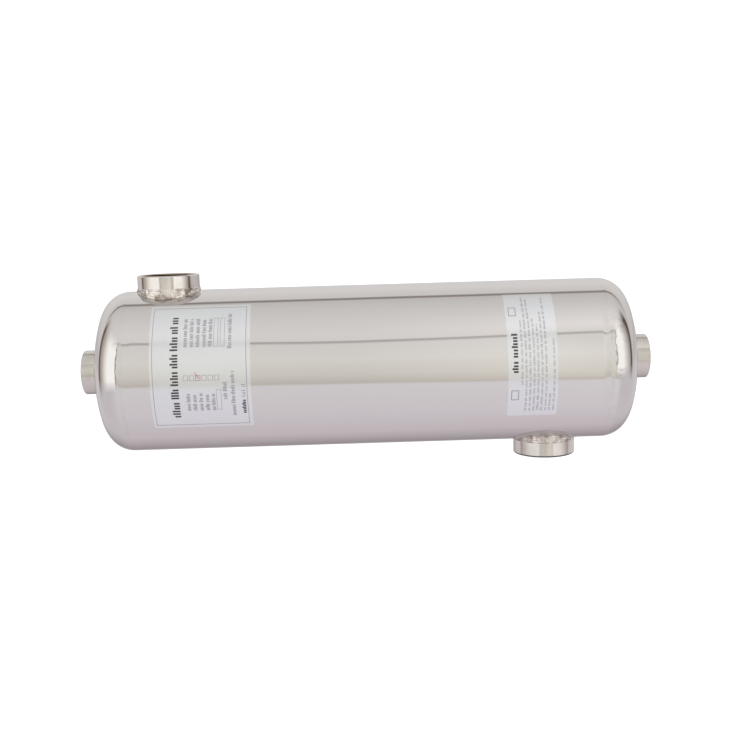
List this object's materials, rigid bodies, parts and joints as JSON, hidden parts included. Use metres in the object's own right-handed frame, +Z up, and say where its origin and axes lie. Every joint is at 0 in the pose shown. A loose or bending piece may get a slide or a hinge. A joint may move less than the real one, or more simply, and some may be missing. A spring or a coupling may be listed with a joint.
{
  "type": "shell and tube heat exchanger",
  "caption": "Small welded stainless steel shell and tube heat exchanger: dished heads, a threaded socket in each head, and a threaded nozzle up and another down.",
  "frame": {"origin": "centre of the bottom nozzle's end face, which the pipe or stand below carries", "axes": "+X along the shell from the top nozzle's end to the bottom nozzle's end, +Z up along the nozzles, +Y to the back"},
  "size_m": [0.495, 0.1401, 0.1676],
  "materials": {
    "mirror_polished_stainless": "mirror polished",
    "polished_weld": "ground flush and polished, slightly wavy",
    "machined_stainless": "fine turned",
    "heat_tinted_weld": "rippled bead with straw and brown heat tint",
    "mill_finish_stainless": "dull mill finish",
    "drawn_stainless_tube": "drawn, semi-bright",
    "label_film": "semi-gloss white film"
  },
  "bodies": {
    "root": {"shell_tube": "mirror_polished_stainless", "left_head": "mirror_polished_stainless", "right_head": "mirror_polished_stainless", "left_girth_weld": "polished_weld", "right_girth_weld": "polished_weld", "top_nozzle": "machined_stainless", "bottom_nozzle": "machined_stainless", "top_nozzle_weld": "heat_tinted_weld", "bottom_nozzle_weld": "heat_tinted_weld", "left_end_socket": "machined_stainless", "right_end_socket": "machined_stainless", "left_socket_weld": "heat_tinted_weld", "right_socket_weld": "heat_tinted_weld", "left_tube_sheet": "mill_finish_stainless", "right_tube_sheet": "mill_finish_stainless", "tube_row_1": "drawn_stainless_tube", "tube_row_2": "drawn_stainless_tube", "tube_row_3": "drawn_stainless_tube", "tube_row_4": "drawn_stainless_tube", "tube_row_5": "drawn_stainless_tube", "tube_row_6": "drawn_stainless_tube", "tube_row_7": "drawn_stainless_tube", "baffle_1": "mill_finish_stainless", "baffle_2": "mill_finish_stainless", "baffle_3": "mill_finish_stainless", "baffle_4": "mill_finish_stainless", "tie_rod_1": "mill_finish_stainless", "tie_rod_2": "mill_finish_stainless", "tie_rod_3": "mill_finish_stainless", "tie_rod_4": "mill_finish_stainless", "rating_label": "label_film", "notice_label": "label_film"}
  },
  "joints": []
}
